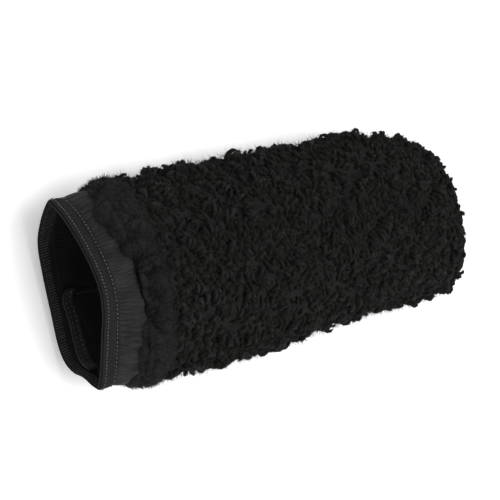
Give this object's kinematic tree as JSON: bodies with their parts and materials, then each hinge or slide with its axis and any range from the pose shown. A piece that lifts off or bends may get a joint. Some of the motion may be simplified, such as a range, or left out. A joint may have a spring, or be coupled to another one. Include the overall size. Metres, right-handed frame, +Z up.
{
  "type": "hand warmer muff",
  "caption": "Soft tubular hand warmer muff: dark sherpa pile outside, brushed knit cuff at one mouth, ribbed lining and a heat-pack pocket inside, open at both ends.",
  "frame": {"origin": "centre of the underside, on the surface that the muff lies on", "axes": "+X along the tube, from the cuffed mouth to the plain mouth; +Y across the flattened tube; +Z up"},
  "size_m": [0.34, 0.1466, 0.0802],
  "materials": {
    "sherpa_pile": "matte curled pile",
    "brushed_knit": "matte brushed knit with a faint sheen",
    "ribbed_lining": "matte fine rib knit",
    "wadding": "matte lofted polyester wadding",
    "sewing_thread": "soft satin polyester thread"
  },
  "bodies": {
    "root": {"sherpa_shell": "sherpa_pile", "cuff_band": "brushed_knit", "far_facing": "brushed_knit", "ribbed_lining": "ribbed_lining", "wadding": "wadding", "pocket_panel": "ribbed_lining", "pocket_hem": "ribbed_lining", "cuff_front_needle_row": "sewing_thread", "cuff_back_needle_row": "sewing_thread", "cuff_cover_thread": "sewing_thread", "cuff_looper_thread": "sewing_thread", "cuff_seam_stitches": "sewing_thread", "cuff_join_stitches": "sewing_thread", "shell_join_stitches": "sewing_thread", "lining_join_stitches": "sewing_thread", "far_rim_stitches": "sewing_thread", "far_facing_stitches": "sewing_thread", "pocket_mouth_stitches": "sewing_thread", "pocket_side_stitches": "sewing_thread"}
  },
  "joints": []
}
